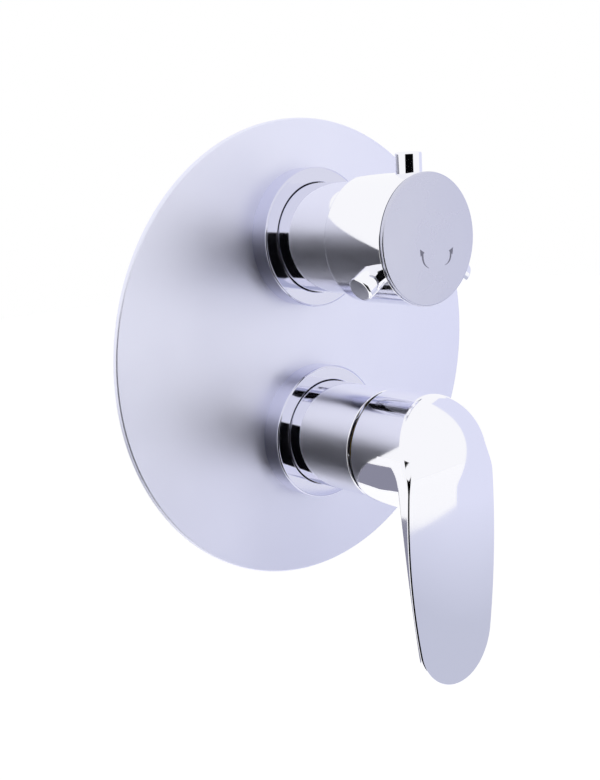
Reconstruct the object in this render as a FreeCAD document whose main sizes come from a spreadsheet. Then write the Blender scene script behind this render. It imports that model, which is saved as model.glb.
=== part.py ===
"""Concealed single-lever shower mixer with a two-way diverter knob on a round cover plate.

The wall plane is y = 0 and the room lies towards -Y, so every depth below is a distance in front of the
wall. The origin is the centre of the cover plate on the wall plane, and +Z is up. The diverter axis lies
above the origin and the mixer axis below it.
"""
import FreeCAD, Part, Sketcher
import math
import os
import re

doc = FreeCAD.newDocument("ShowerDiverterValve")
sheet = doc.addObject("Spreadsheet::Sheet", "Sizes")

# Driving dimensions in millimetres, and angles in degrees
SIZES = {
    # Cover plate and its rubber seal
    "plate_margin": 19.8,
    "plate_thickness": 2.0,
    "plate_edge_round": 0.8,
    "seal_thickness": 1.0,
    "seal_width": 5.0,
    "seal_inset": 3.0,
    # Heights of the two working axes
    "diverter_height": 47.1,
    "mixer_drop": 34.2,
    # Collars on the plate, with an O-ring groove on the sleeve side
    "collar_radius": 28.1,
    "collar_depth": 8.6,
    "collar_round": 0.8,
    "collar_spigot_wall": 2.3,
    "collar_gap": 0.3,
    "ring_groove_depth": 1.5,
    "ring_groove_width": 2.0,
    "ring_groove_start": 1.6,
    # The chrome tubes over the diverter and over the cartridge
    "sleeve_radius": 21.9,
    "sleeve_wall": 0.9,
    "sleeve_back": 0.5,
    "sleeve_front": 46.6,
    "sleeve_web": 2.0,
    "shroud_front": 45.8,
    "shroud_lip": 1.0,
    "shroud_lip_width": 1.8,
    "shroud_lip_round": 0.45,
    # Diverter headwork
    "headwork_bore": 11.0,
    "headwork_floor": 3.0,
    "headwork_mouth": 20.0,
    "seat_seal": 1.0,
    "seat_disc": 3.5,
    "turning_disc": 2.5,
    "turning_disc_radius": 9.0,
    "disc_port_radius": 2.4,
    "disc_port_offset": 4.8,
    "spindle_flange": 2.4,
    "spindle_radius": 4.0,
    "spindle_square": 6.0,
    "spindle_setback": 2.5,
    "bonnet_hex": 27.0,
    "bonnet_hex_height": 4.0,
    "bonnet_neck_radius": 9.3,
    "bonnet_front": 34.0,
    "locknut_hex": 24.0,
    "locknut_height": 4.0,
    # Diverter knob, its cap, its screw and its three pins
    "knob_radius": 24.5,
    "knob_back": 41.1,
    "knob_front": 70.0,
    "knob_edge_round": 0.7,
    "knob_overlap_gap": 0.5,
    "knob_end_gap": 1.0,
    "knob_cap_thickness": 1.4,
    "knob_cap_gap": 0.35,
    "knob_recess_radius": 12.0,
    "knob_recess_depth": 9.5,
    "cap_spigot_length": 5.0,
    "knob_screw_radius": 2.0,
    "knob_screw_head_radius": 4.2,
    "knob_screw_head": 3.0,
    "knob_screw_length": 8.0,
    "pin_radius": 5.0,
    "pin_reach": 31.9,
    "pin_depth": 62.4,
    "pin_socket_end": 17.0,
    "pin_round": 1.0,
    # Mixer cartridge
    "cartridge_radius": 17.5,
    "cartridge_tube_wall": 2.9,
    "cartridge_floor": 10.0,
    "base_seal_height": 0.8,
    "base_seal_radius": 16.5,
    "base_seal_width": 2.0,
    "base_height": 4.2,
    "fixed_disc_radius": 15.0,
    "fixed_disc": 4.0,
    "moving_disc_radius": 10.8,
    "moving_disc": 3.0,
    "carrier_radius": 10.0,
    "carrier_height": 6.2,
    "rotor_flange": 2.9,
    "rotor_radius": 9.0,
    "rotor_above_pivot": 5.0,
    "rotor_slot": 14.0,
    "housing_wall": 2.3,
    "housing_top": 1.7,
    "retaining_nut": 4.0,
    "retaining_nut_hole": 11.0,
    "mixer_port_radius": 2.6,
    "mixer_port_offset": 7.6,
    # Lever pivot and spindle, in the plane that the lever tips in
    "carrier_clearance": 0.75,
    "pivot_pin_radius": 1.5,
    "lever_rest_angle": 10.0,
    "lever_bar": 6.0,
    "lever_bar_back": 8.0,
    "lever_bar_front": 26.0,
    "lever_neck_length": 2.5,
    "lever_ball_radius": 2.4,
    "lever_ball_neck": 1.8,
    # Lever handle: hub, crown and hanging blade
    "hub_back": 48.6,
    "hub_radius": 22.8,
    "hub_wall": 1.6,
    "hub_crease_setback": 1.5,
    "hub_front_taper": 0.6,
    "crown_half_width": 23.0,
    "blade_bulge": 1.5,
    "blade_taper": 2.4,
    "blade_reach": 90.6,
    "blade_thinnest": 2.6,
    "blade_thinnest_drop": 65.0,
    "blade_back_radius": 369.0,
    "blade_shoulder": 12.0,
    "blade_shoulder_top": 3.0,
    "blade_edge_round": 0.8,
    "handle_front_wall": 17.3,
    "handle_front_radius": 170.0,
    "crown_radius": 50.0,
    "crown_drop": 10.0,
    "crown_round": 4.0,
    "hub_cavity_beyond": 1.0,
    "socket_boss_radius": 8.5,
    "socket_boss_back": 55.0,
    "set_screw_radius": 2.5,
    "set_screw_setback": 3.0,
    "set_screw_length": 12.0,
    "set_screw_boss_radius": 4.5,
    # Brass body behind the wall
    "body_pipe_radius": 14.0,
    "body_wall_cover": 2.5,
    "body_back_wall": 2.0,
    "diverter_tube_radius": 15.0,
    "inlet_span": 96.0,
    "outlet_top": 84.0,
    "outlet_bottom": 84.0,
    "port_boss_radius": 15.5,
    "port_boss_length": 15.0,
    "port_radius": 9.3,
    "port_depth": 13.0,
    "lug_span": 76.0,
    "lug_height": 9.0,
    "lug_thickness": 4.0,
    "lug_depth": 20.0,
    "lug_radius": 8.0,
    "lug_hole_radius": 2.75,
    # Clearances
    "running_gap": 0.05,
    "seating_gap": 0.1,
    "cut_margin": 1.0,
}
for row, (alias, value) in enumerate(SIZES.items(), start=1):
    sheet.set(f"A{row}", alias)
    sheet.set(f"B{row}", str(value))
    sheet.setAlias(f"B{row}", alias)
doc.recompute()

# Radii and depths in front of the wall that several pieces share
PLATE_RADIUS = "(diverter_height + collar_radius + plate_margin)"
PLATE_FRONT = "(seal_thickness + plate_thickness)"
COLLAR_FRONT = f"({PLATE_FRONT} + collar_depth)"
COLLAR_BORE = "(sleeve_radius + collar_gap)"
COLLAR_SPIGOT = f"({COLLAR_BORE} + collar_spigot_wall)"
SLEEVE_BORE = "(sleeve_radius - sleeve_wall)"
SEAT_DISC_BACK = "(headwork_floor + seat_seal)"
SEAT_DISC_FRONT = f"({SEAT_DISC_BACK} + seat_disc)"
TURNING_DISC_BACK = f"({SEAT_DISC_FRONT} + running_gap)"
TURNING_DISC_FRONT = f"({TURNING_DISC_BACK} + turning_disc)"
FLANGE_FRONT = f"({TURNING_DISC_FRONT} + spindle_flange)"
HEX_FRONT = "(headwork_mouth + bonnet_hex_height)"
WEB_FRONT = f"({HEX_FRONT} + sleeve_web)"
KNOB_CAVITY_END = "(sleeve_front + knob_end_gap)"
KNOB_RECESS_BACK = "(knob_front - knob_recess_depth)"
SPINDLE_END = f"({KNOB_RECESS_BACK} - spindle_setback)"
CAP_BACK = "(knob_front + knob_cap_gap)"
CARTRIDGE_BORE = "(cartridge_radius + seating_gap)"
CARTRIDGE_TUBE = f"({CARTRIDGE_BORE} + cartridge_tube_wall)"
BASE_BACK = "(cartridge_floor + base_seal_height)"
BASE_FRONT = f"({BASE_BACK} + base_height)"
FIXED_DISC_FRONT = f"({BASE_FRONT} + fixed_disc)"
MOVING_DISC_BACK = f"({FIXED_DISC_FRONT} + running_gap)"
MOVING_DISC_FRONT = f"({MOVING_DISC_BACK} + moving_disc)"
CARRIER_FRONT = f"({MOVING_DISC_FRONT} + carrier_height)"
ROTOR_BACK = f"({CARRIER_FRONT} + seating_gap)"
FLANGE_TOP = f"({ROTOR_BACK} + rotor_flange)"
HOUSING_CEILING = f"({FLANGE_TOP} + seating_gap)"
HOUSING_FRONT = f"({HOUSING_CEILING} + housing_top)"
HOUSING_BORE = "(cartridge_radius - housing_wall)"
TUBE_MOUTH = f"({HOUSING_FRONT} + retaining_nut)"
DIVERTER_Z = "diverter_height"
MIXER_Z = "-mixer_drop"
PIVOT_DEPTH = f"({CARRIER_FRONT} + carrier_clearance + lever_bar_back)"
BALL_ARM = "(lever_bar_back + lever_neck_length)"
ROTOR_FRONT = f"({PIVOT_DEPTH} + rotor_above_pivot)"
SPINDLE_TIP = f"({PIVOT_DEPTH} + lever_bar_front)"
HUB_CAVITY_FRONT = f"({SPINDLE_TIP} + hub_cavity_beyond)"
HUB_CREASE = f"({HUB_CAVITY_FRONT} - hub_crease_setback)"
HANDLE_FRONT = f"({HUB_CAVITY_FRONT} + handle_front_wall)"
SET_SCREW_DEPTH = f"({SPINDLE_TIP} - set_screw_setback)"
BLADE_HALF_WIDTH = "(crown_half_width + blade_bulge)"
BLADE_TIP_RADIUS = "(crown_half_width - blade_taper)"
BLADE_TIP_DROP = f"(blade_reach - {BLADE_TIP_RADIUS})"
BLADE_WIDENING = "((blade_bulge + blade_taper) / blade_bulge)"
BLADE_WIDE_DROP = (f"((sqrt({BLADE_WIDENING} * ({BLADE_TIP_DROP} ^ 2 - blade_taper ^ 2)) - {BLADE_TIP_DROP})"
                   " * blade_bulge / blade_taper)")
BLADE_SIDE_RADIUS = f"(({BLADE_WIDE_DROP} ^ 2 / blade_bulge + {BLADE_HALF_WIDTH} + crown_half_width) / 2)"
CROWN_Z = f"({MIXER_Z} - crown_drop)"
CROWN_AXIS = f"({HANDLE_FRONT} - crown_radius)"
SOCKET_SIZE = "(lever_bar + 2 * running_gap)"
BODY_DEPTH = "(port_boss_radius + body_wall_cover)"

FACING_ROOM = FreeCAD.Rotation(FreeCAD.Vector(1, 0, 0), 90)
ALONG_X = FreeCAD.Rotation(FreeCAD.Vector(0, 1, 0), 90)
UPRIGHT = FreeCAD.Rotation()

PIECES = {}


def size(alias):
    """The present value of one driving dimension."""
    return float(sheet.get(alias))


def bind(thing, prop, formula):
    """Tie a property to the driving dimensions named in the formula."""
    thing.setExpression(prop, re.sub(r"[a-z]+(?:_[a-z]+)+", r"Sizes.\g<0>", formula))


def place(thing, x, y, z):
    """Tie the three coordinates of a piece's origin to the driving dimensions."""
    for axis, formula in zip("xyz", (x, y, z)):
        if formula != "0":
            bind(thing, f"Placement.Base.{axis}", formula)


def turned(name, radius, back, front, z, x="0", front_radius=None):
    """A cylinder, or a cone when it has a front radius, whose axis points into the room."""
    if front_radius is None:
        solid = doc.addObject("Part::Cylinder", name)
        bind(solid, "Radius", radius)
    else:
        solid = doc.addObject("Part::Cone", name)
        bind(solid, "Radius1", radius)
        bind(solid, "Radius2", front_radius)
    bind(solid, "Height", f"{front} - ({back})")
    solid.Placement = FreeCAD.Placement(FreeCAD.Vector(), FACING_ROOM)
    place(solid, x, f"-({back})", z)
    return solid


def rod(name, radius, length, rotation, x, y, z):
    """A cylinder that starts at a point and runs the way the rotation turns +Z."""
    solid = doc.addObject("Part::Cylinder", name)
    bind(solid, "Radius", radius)
    bind(solid, "Height", length)
    solid.Placement = FreeCAD.Placement(FreeCAD.Vector(), rotation)
    place(solid, x, y, z)
    return solid


def block(name, width, back, front, height, z, x="0"):
    """A box centred on a point of the wall plane, from one depth to another."""
    solid = doc.addObject("Part::Box", name)
    bind(solid, "Length", width)
    bind(solid, "Width", f"{front} - ({back})")
    bind(solid, "Height", height)
    place(solid, f"{x} - ({width}) / 2", f"-({front})", f"{z} - ({height}) / 2")
    return solid


def hexagon(name, across_flats, back, front, z):
    """A hexagonal prism whose axis points into the room."""
    solid = doc.addObject("Part::Prism", name)
    solid.Polygon = 6
    bind(solid, "Circumradius", f"{across_flats} / sqrt(3)")
    bind(solid, "Height", f"{front} - ({back})")
    solid.Placement = FreeCAD.Placement(FreeCAD.Vector(), FACING_ROOM)
    place(solid, "0", f"-({back})", z)
    return solid


def fuse(name, *solids):
    """Solids joined to one."""
    joined = doc.addObject("Part::MultiFuse", name)
    joined.Shapes = list(solids)
    return joined


def cut(name, base, *tools):
    """A base with one or more tools taken away."""
    result = doc.addObject("Part::Cut", name)
    result.Base = base
    result.Tool = tools[0] if len(tools) == 1 else fuse(name + "Tools", *tools)
    return result


def common(name, first, second):
    """What two solids share."""
    result = doc.addObject("Part::Common", name)
    result.Base = first
    result.Tool = second
    return result


def rounded(name, base, radius, chosen):
    """A solid with a fillet on every edge that the chosen test accepts."""
    doc.recompute()
    edges = [index for index, edge in enumerate(base.Shape.Edges, start=1) if chosen(edge)]
    fillet = doc.addObject("Part::Fillet", name)
    fillet.Base = base
    fillet.Edges = [(index, radius, radius) for index in edges]
    return fillet


def rim(edge, depth, radius):
    """Whether an edge is the full circle of a turned piece at a depth and of a radius."""
    curve = edge.Curve
    same_place = isinstance(curve, Part.Circle) and abs(-curve.Center.y - depth) < 1e-3
    return same_place and abs(curve.Radius - radius) < 1e-3


def piece(node, solid):
    """Give a finished solid its name."""
    solid.Label = node
    PIECES[node] = solid
    return solid


def depth_of(formula):
    """The present value of a formula in the driving dimensions."""
    numbers = re.sub(r"[a-z]+(?:_[a-z]+)+", lambda word: f"{size(word.group())}", formula)
    return float(FreeCAD.Units.Quantity(numbers).Value)


def make_plate_and_seal():
    """The round cover plate, with a hole for each collar, and the rubber ring behind it."""
    disc = turned("PlateDisc", PLATE_RADIUS, "seal_thickness", PLATE_FRONT, "0")
    front = depth_of(PLATE_FRONT)
    radius = depth_of(PLATE_RADIUS)
    soft_disc = rounded("PlateRound", disc, size("plate_edge_round"), lambda edge: rim(edge, front, radius))
    holes = []
    for label, z in (("Upper", DIVERTER_Z), ("Lower", MIXER_Z)):
        holes.append(turned(f"{label}PlateHole", f"{COLLAR_SPIGOT} + seating_gap", "0",
                            f"{PLATE_FRONT} + cut_margin", z))
    piece("cover_plate", cut("Plate", soft_disc, *holes))
    outer = turned("SealOuter", f"{PLATE_RADIUS} - seal_inset", "0", "seal_thickness", "0")
    inner = turned("SealInner", f"{PLATE_RADIUS} - seal_inset - seal_width", "-cut_margin",
                   "seal_thickness + cut_margin", "0")
    piece("wall_seal", cut("Seal", outer, inner))


def make_collar(label, z):
    """A chrome ring that sits on the plate round a sleeve, and the O-ring in its groove."""
    groove_back = f"({PLATE_FRONT} + ring_groove_start)"
    groove_front = f"({groove_back} + ring_groove_width)"
    groove_radius = f"({COLLAR_BORE} + ring_groove_depth)"
    ring = turned(f"{label}CollarRing", "collar_radius", PLATE_FRONT, COLLAR_FRONT, z)
    front = depth_of(COLLAR_FRONT)
    soft_ring = rounded(f"{label}CollarRound", ring, size("collar_round"),
                        lambda edge: rim(edge, front, size("collar_radius")))
    spigot = turned(f"{label}CollarSpigot", COLLAR_SPIGOT, "seal_thickness",
                    f"{PLATE_FRONT} + seating_gap", z)
    bore = turned(f"{label}CollarBore", COLLAR_BORE, "0", f"{COLLAR_FRONT} + cut_margin", z)
    groove = turned(f"{label}CollarGroove", groove_radius, groove_back, groove_front, z)
    solid = fuse(f"{label}CollarSolid", soft_ring, spigot)
    piece(f"{label.lower()}_collar", cut(f"{label}Collar", solid, bore, groove))
    seal = doc.addObject("Part::Torus", f"{label}CollarSeal")
    seal.Placement = FreeCAD.Placement(FreeCAD.Vector(), FACING_ROOM)
    bind(seal, "Radius1", f"({groove_radius} + sleeve_radius) / 2")
    bind(seal, "Radius2", f"({groove_radius} - sleeve_radius) / 2 - running_gap")
    place(seal, "0", f"-({groove_back} + {groove_front}) / 2", z)
    piece(f"{label.lower()}_collar_seal", seal)


def make_diverter_sleeve():
    """The tube between the upper collar and the knob, with a web that the locknut clamps."""
    tube = turned("SleeveTube", "sleeve_radius", "sleeve_back", "sleeve_front", DIVERTER_Z)
    rear = turned("SleeveRearBore", SLEEVE_BORE, "sleeve_back - cut_margin", HEX_FRONT, DIVERTER_Z)
    fore = turned("SleeveFrontBore", SLEEVE_BORE, WEB_FRONT, "sleeve_front + cut_margin", DIVERTER_Z)
    hole = turned("SleeveWebHole", "bonnet_neck_radius + seating_gap", "0", "sleeve_front", DIVERTER_Z)
    piece("diverter_sleeve", cut("DiverterSleeve", tube, rear, fore, hole))


def make_diverter_headwork():
    """Seat seal, two ceramic discs, spindle, bonnet and locknut, stacked along the diverter axis."""
    disc_radius = "(headwork_bore - seating_gap)"
    seal = turned("SeatSealDisc", disc_radius, "headwork_floor", SEAT_DISC_BACK, DIVERTER_Z)
    seat = turned("SeatDisc", disc_radius, SEAT_DISC_BACK, SEAT_DISC_FRONT, DIVERTER_Z)
    seal_ports, seat_ports = [], []
    for side in ("-", ""):
        x = f"{side}disc_port_offset"
        name = "Left" if side else "Right"
        seal_ports.append(turned(f"{name}SealPort", "disc_port_radius", "0", SEAT_DISC_FRONT, DIVERTER_Z, x))
        seat_ports.append(turned(f"{name}SeatPort", "disc_port_radius", "0",
                                 f"{SEAT_DISC_FRONT} + cut_margin", DIVERTER_Z, x))
    piece("diverter_seat_seal", cut("SeatSeal", seal, *seal_ports))
    piece("diverter_fixed_disc", cut("SeatDiscCut", seat, *seat_ports))
    disc = turned("TurningDisc", "turning_disc_radius", TURNING_DISC_BACK, TURNING_DISC_FRONT, DIVERTER_Z)
    port = turned("TurningPort", "disc_port_radius", "0", "headwork_mouth",
                  f"{DIVERTER_Z} + disc_port_offset")
    piece("diverter_moving_disc", cut("TurningDiscCut", disc, port))

    flange = turned("SpindleFlange", "turning_disc_radius", TURNING_DISC_FRONT, FLANGE_FRONT, DIVERTER_Z)
    shaft = turned("SpindleShaft", "spindle_radius", f"{FLANGE_FRONT} - seating_gap",
                   KNOB_CAVITY_END, DIVERTER_Z)
    square = block("SpindleSquare", "spindle_square", "sleeve_front", SPINDLE_END, "spindle_square",
                   DIVERTER_Z)
    tapping = turned("SpindleTapping", "knob_screw_radius + running_gap",
                     f"{KNOB_RECESS_BACK} - knob_screw_length - cut_margin", f"{SPINDLE_END} + cut_margin",
                     DIVERTER_Z)
    piece("diverter_spindle", cut("Spindle", fuse("SpindleSolid", flange, shaft, square), tapping))

    cup_back = f"({SEAT_DISC_FRONT} + seating_gap)"
    cup = turned("BonnetCup", "headwork_bore - seating_gap", cup_back, "headwork_mouth + seating_gap",
                 DIVERTER_Z)
    hexed = hexagon("BonnetHex", "bonnet_hex", "headwork_mouth", HEX_FRONT, DIVERTER_Z)
    neck = turned("BonnetNeck", "bonnet_neck_radius", f"{HEX_FRONT} - seating_gap", "bonnet_front",
                  DIVERTER_Z)
    room = turned("BonnetRoom", "turning_disc_radius + seating_gap", "0", f"{FLANGE_FRONT} + seating_gap",
                  DIVERTER_Z)
    bore = turned("BonnetBore", "spindle_radius + running_gap", "0", "bonnet_front + cut_margin", DIVERTER_Z)
    piece("diverter_bonnet", cut("Bonnet", fuse("BonnetSolid", cup, hexed, neck), room, bore))

    nut = hexagon("LocknutHex", "locknut_hex", WEB_FRONT, f"{WEB_FRONT} + locknut_height", DIVERTER_Z)
    nut_hole = turned("LocknutHole", "bonnet_neck_radius + running_gap", "0", "bonnet_front + cut_margin",
                      DIVERTER_Z)
    piece("sleeve_locknut", cut("Locknut", nut, nut_hole))


def make_diverter_knob():
    """The turned knob, its front cap, the screw that the cap hides and the three radial pins."""
    shell = turned("KnobShell", "knob_radius", "knob_back", "knob_front", DIVERTER_Z)
    back = size("knob_back")
    soft_shell = rounded("KnobRound", shell, size("knob_edge_round"),
                         lambda edge: rim(edge, back, size("knob_radius")))
    cavity = turned("KnobCavity", "sleeve_radius + knob_overlap_gap", "knob_back - cut_margin",
                    KNOB_CAVITY_END, DIVERTER_Z)
    socket_size = "(spindle_square + 2 * running_gap)"
    socket = block("KnobSocket", socket_size, "sleeve_front", f"{SPINDLE_END} + seating_gap", socket_size,
                   DIVERTER_Z)
    recess = turned("KnobRecess", "knob_recess_radius", KNOB_RECESS_BACK, "knob_front + cut_margin",
                    DIVERTER_Z)
    screw_hole = turned("KnobScrewHole", "knob_screw_radius + running_gap", "sleeve_front", "knob_front",
                        DIVERTER_Z)
    pin_holes = []
    for number, angle in enumerate((90, 210, 330), start=1):
        outward = FreeCAD.Rotation(FreeCAD.Vector(0, 1, 0), 90 - angle)
        across = f"cos({angle} deg)"
        along = f"sin({angle} deg)"
        ends = {}
        for part_name, start, radius in (("Hole", "pin_socket_end", "pin_radius + running_gap"),
                                         ("Pin", "(pin_socket_end + seating_gap)", "pin_radius")):
            ends[part_name] = rod(f"Knob{part_name}{number}", radius, f"pin_reach - {start}", outward,
                                  f"{start} * {across}", "-pin_depth", f"{DIVERTER_Z} + {start} * {along}")
        pin_holes.append(ends["Hole"])
        tip = rounded(f"KnobPinRound{number}", ends["Pin"], size("pin_round"), is_outer_circle(angle))
        piece(f"knob_pin_{number}", tip)
    piece("diverter_knob", cut("Knob", soft_shell, cavity, socket, recess, screw_hole, *pin_holes))

    disc = turned("CapDisc", "knob_radius", CAP_BACK, f"{CAP_BACK} + knob_cap_thickness", DIVERTER_Z)
    front = depth_of(f"{CAP_BACK} + knob_cap_thickness")
    soft_disc = rounded("CapRound", disc, size("knob_edge_round"),
                        lambda edge: rim(edge, front, size("knob_radius")))
    spigot = turned("CapSpigot", "knob_recess_radius - running_gap", "knob_front - cap_spigot_length",
                    f"{CAP_BACK} + seating_gap", DIVERTER_Z)
    piece("knob_cap", fuse("Cap", soft_disc, spigot))

    head = turned("KnobScrewHead", "knob_screw_head_radius", KNOB_RECESS_BACK,
                  f"{KNOB_RECESS_BACK} + knob_screw_head", DIVERTER_Z)
    shank = turned("KnobScrewShank", "knob_screw_radius", f"{KNOB_RECESS_BACK} - knob_screw_length",
                   f"{KNOB_RECESS_BACK} + seating_gap", DIVERTER_Z)
    piece("knob_screw", fuse("KnobScrew", head, shank))


def is_outer_circle(angle):
    """A test for the outer rim of a pin that points away from the diverter axis at an angle."""
    reach = FreeCAD.Vector(math.cos(math.radians(angle)), 0, math.sin(math.radians(angle)))

    def chosen(edge):
        if not isinstance(edge.Curve, Part.Circle):
            return False
        middle = edge.Curve.Center - FreeCAD.Vector(0, 0, size("diverter_height"))
        return middle.dot(reach) > size("knob_radius")

    return chosen


def make_shroud():
    """The tube over the cartridge, with a lip at its mouth, and the O-ring that steadies it."""
    tube = turned("ShroudTube", "sleeve_radius", "sleeve_back", "shroud_front", MIXER_Z)
    bore = turned("ShroudBore", SLEEVE_BORE, "sleeve_back - cut_margin", "shroud_front - shroud_lip", MIXER_Z)
    mouth = turned("ShroudMouth", "sleeve_radius - shroud_lip_width", "sleeve_back",
                   "shroud_front + cut_margin", MIXER_Z)
    shell = cut("ShroudShell", tube, bore, mouth)
    front = size("shroud_front")
    mouth_radius = depth_of("sleeve_radius - shroud_lip_width")
    lip = rounded("ShroudLip", shell, size("shroud_lip_round"),
                  lambda edge: rim(edge, front, size("sleeve_radius")) or rim(edge, front, mouth_radius))
    piece("mixer_shroud", lip)
    ring = doc.addObject("Part::Torus", "ShroudRing")
    ring.Placement = FreeCAD.Placement(FreeCAD.Vector(), FACING_ROOM)
    bind(ring, "Radius1", f"({SLEEVE_BORE} + {CARTRIDGE_TUBE} - ring_groove_depth) / 2")
    bind(ring, "Radius2", f"({SLEEVE_BORE} - {CARTRIDGE_TUBE} + ring_groove_depth) / 2 - running_gap")
    place(ring, "0", f"-({TUBE_MOUTH} - 2 * ring_groove_width)", MIXER_Z)
    piece("shroud_ring", ring)


def make_cartridge():
    """The mixing cartridge: base, ceramic discs, carrier, housing and the nut that holds it down."""
    seal = turned("BaseSealOuter", "base_seal_radius", "cartridge_floor", BASE_BACK, MIXER_Z)
    seal_hole = turned("BaseSealInner", "base_seal_radius - base_seal_width", "0", BASE_FRONT, MIXER_Z)
    piece("base_seal", cut("BaseSeal", seal, seal_hole))

    base = turned("BaseDisc", "cartridge_radius", BASE_BACK, BASE_FRONT, MIXER_Z)
    fixed = turned("FixedDisc", "fixed_disc_radius", BASE_FRONT, FIXED_DISC_FRONT, MIXER_Z)
    for node, solid in (("cartridge_base", base), ("mixer_fixed_disc", fixed)):
        ports = []
        for number, angle in enumerate((30, 150, 270), start=1):
            ports.append(turned(f"{solid.Name}Port{number}", "mixer_port_radius", "cartridge_floor",
                                f"{FIXED_DISC_FRONT} + cut_margin",
                                f"{MIXER_Z} + mixer_port_offset * sin({angle} deg)",
                                f"mixer_port_offset * cos({angle} deg)"))
        piece(node, cut(f"{solid.Name}Cut", solid, *ports))

    # At rest the ball end of the spindle stands above the axis, and the disc and its carrier stand with it
    rest_z = f"({MIXER_Z} + {BALL_ARM} * sin(lever_rest_angle * 1 deg))"
    moving = turned("MovingDisc", "moving_disc_radius", MOVING_DISC_BACK, MOVING_DISC_FRONT, rest_z)
    piece("mixer_moving_disc", moving)
    carrier = turned("CarrierDisc", "carrier_radius", MOVING_DISC_FRONT, CARRIER_FRONT, rest_z)
    ball_seat = turned("CarrierSeat", "lever_ball_radius + seating_gap",
                       f"{PIVOT_DEPTH} - {BALL_ARM} - lever_ball_radius - seating_gap",
                       f"{CARRIER_FRONT} + cut_margin", rest_z)
    piece("disc_carrier", cut("Carrier", carrier, ball_seat))

    wall = turned("HousingWall", "cartridge_radius", BASE_FRONT, HOUSING_FRONT, MIXER_Z)
    room = turned("HousingRoom", HOUSING_BORE, "0", HOUSING_CEILING, MIXER_Z)
    neck_hole = turned("HousingHole", "rotor_radius + running_gap", "0", f"{HOUSING_FRONT} + cut_margin",
                       MIXER_Z)
    piece("cartridge_housing", cut("Housing", wall, room, neck_hole))

    nut = turned("NutRing", "cartridge_radius", HOUSING_FRONT, TUBE_MOUTH, MIXER_Z)
    nut_hole = turned("NutHole", "retaining_nut_hole", "0", f"{TUBE_MOUTH} + cut_margin", MIXER_Z)
    piece("cartridge_nut", cut("Nut", nut, nut_hole))


def make_rotor_and_spindle():
    """The rotor that turns with the lever, the pin the lever tips on and the spindle inside the lever."""
    flange = turned("RotorFlange", f"{HOUSING_BORE} - seating_gap", ROTOR_BACK, FLANGE_TOP, MIXER_Z)
    neck = turned("RotorNeck", "rotor_radius", f"{FLANGE_TOP} - seating_gap", ROTOR_FRONT, MIXER_Z)
    slot = block("RotorSlot", "lever_bar + 2 * seating_gap", "0", f"{ROTOR_FRONT} + cut_margin",
                 "rotor_slot", MIXER_Z)
    pin_hole = rod("RotorPinHole", "pivot_pin_radius + running_gap", "2 * rotor_radius + 2 * cut_margin",
                   ALONG_X, "-rotor_radius - cut_margin", f"-{PIVOT_DEPTH}", MIXER_Z)
    piece("mixer_rotor", cut("Rotor", fuse("RotorSolid", flange, neck), slot, pin_hole))
    pin = rod("PivotPin", "pivot_pin_radius", "2 * rotor_radius - 4 * seating_gap", ALONG_X,
              "-rotor_radius + 2 * seating_gap", f"-{PIVOT_DEPTH}", MIXER_Z)
    piece("pivot_pin", pin)

    bar = tipped_block("SpindleBar", "lever_bar", "-lever_bar_back", "lever_bar_front")
    neck_rod = doc.addObject("Part::Cylinder", "SpindleBallNeck")
    bind(neck_rod, "Radius", "lever_ball_neck")
    bind(neck_rod, "Height", "lever_neck_length + seating_gap")
    tip_forward(neck_rod, FACING_ROOM, "0", "0", f"-{BALL_ARM}")
    ball = doc.addObject("Part::Sphere", "SpindleBall")
    bind(ball, "Radius", "lever_ball_radius")
    tip_forward(ball, FACING_ROOM, "0", "0", f"-{BALL_ARM}")
    hole = rod("SpindlePinHole", "pivot_pin_radius + running_gap", "lever_bar + 2 * cut_margin", ALONG_X,
               "-lever_bar / 2 - cut_margin", f"-{PIVOT_DEPTH}", MIXER_Z)
    piece("lever_spindle", cut("LeverSpindle", fuse("LeverSpindleSolid", bar, neck_rod, ball), hole))


def tip_forward(solid, rotation, across, above, ahead):
    """Put a solid in the plane that the lever tips in, measured from the pivot along the resting spindle."""
    tipped = FreeCAD.Rotation(FreeCAD.Vector(1, 0, 0), size("lever_rest_angle"))
    solid.Placement = FreeCAD.Placement(FreeCAD.Vector(), tipped * rotation)
    cosine = "cos(lever_rest_angle * 1 deg)"
    sine = "sin(lever_rest_angle * 1 deg)"
    place(solid, across, f"-{PIVOT_DEPTH} - ({ahead}) * {cosine} - ({above}) * {sine}",
          f"{MIXER_Z} - ({ahead}) * {sine} + ({above}) * {cosine}")


def tipped_block(name, width, back, front):
    """A square bar along the resting spindle, from one distance to another in front of the pivot."""
    solid = doc.addObject("Part::Box", name)
    bind(solid, "Length", width)
    bind(solid, "Width", width)
    bind(solid, "Height", f"{front} - ({back})")
    tip_forward(solid, FACING_ROOM, f"-({width}) / 2", f"-({width}) / 2", back)
    return solid


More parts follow.
